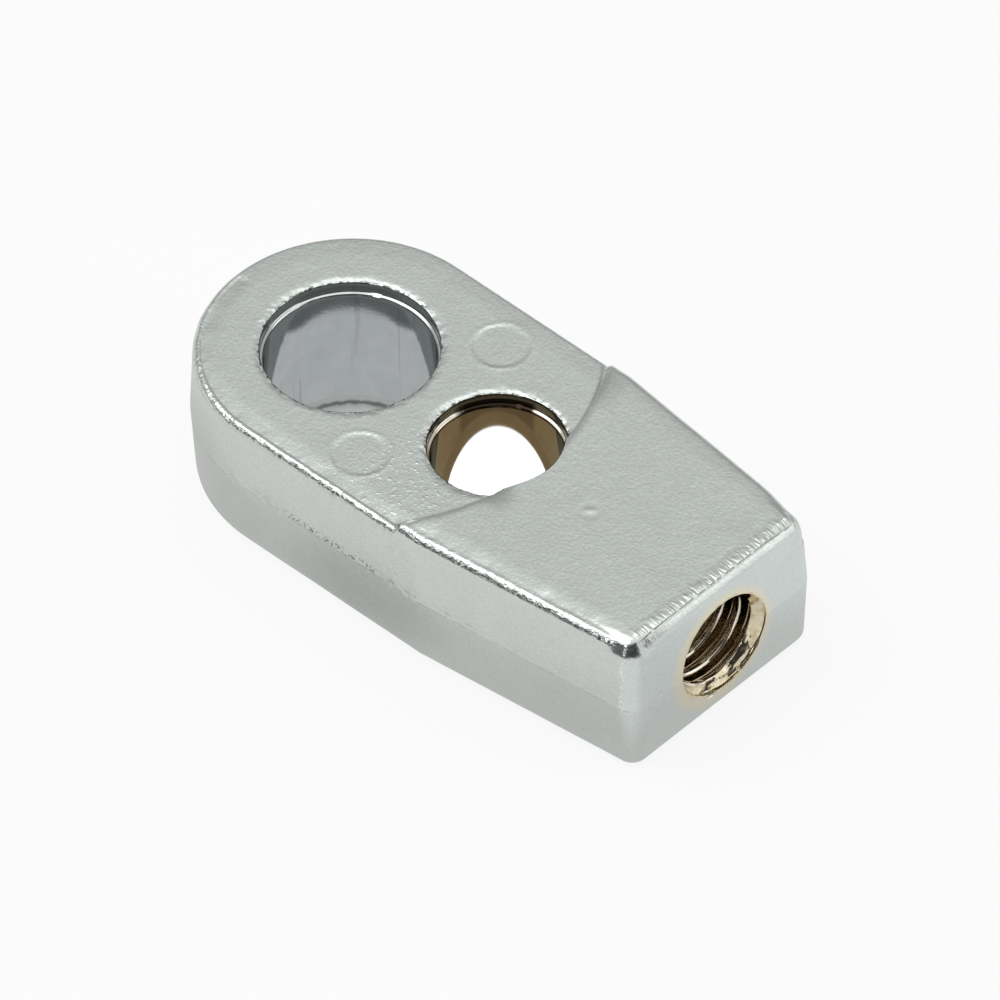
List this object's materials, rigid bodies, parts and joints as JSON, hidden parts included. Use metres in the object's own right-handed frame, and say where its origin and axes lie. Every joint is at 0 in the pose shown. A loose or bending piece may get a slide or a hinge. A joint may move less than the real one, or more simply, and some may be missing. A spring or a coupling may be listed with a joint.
{
  "type": "control cable eye end",
  "caption": "Cast link that screws onto a control cable's end rod and joins it to a lever pin through its round eye.",
  "frame": {"origin": "where the pin bore's axis meets the threaded hole's axis, at half the block's height", "axes": "+X along the threaded hole's axis, out of its mouth; +Z along the pin bore, out of the stepped face; +Y across the part"},
  "size_m": [0.0333, 0.016, 0.0084],
  "materials": {
    "chrome_plate": "satin-bright chrome plate over an as-cast zinc surface with a fine grain; bare brassy undercoat in the countersink, thread and second bore"
  },
  "bodies": {
    "root": {"eye_end": "chrome_plate"}
  },
  "joints": []
}
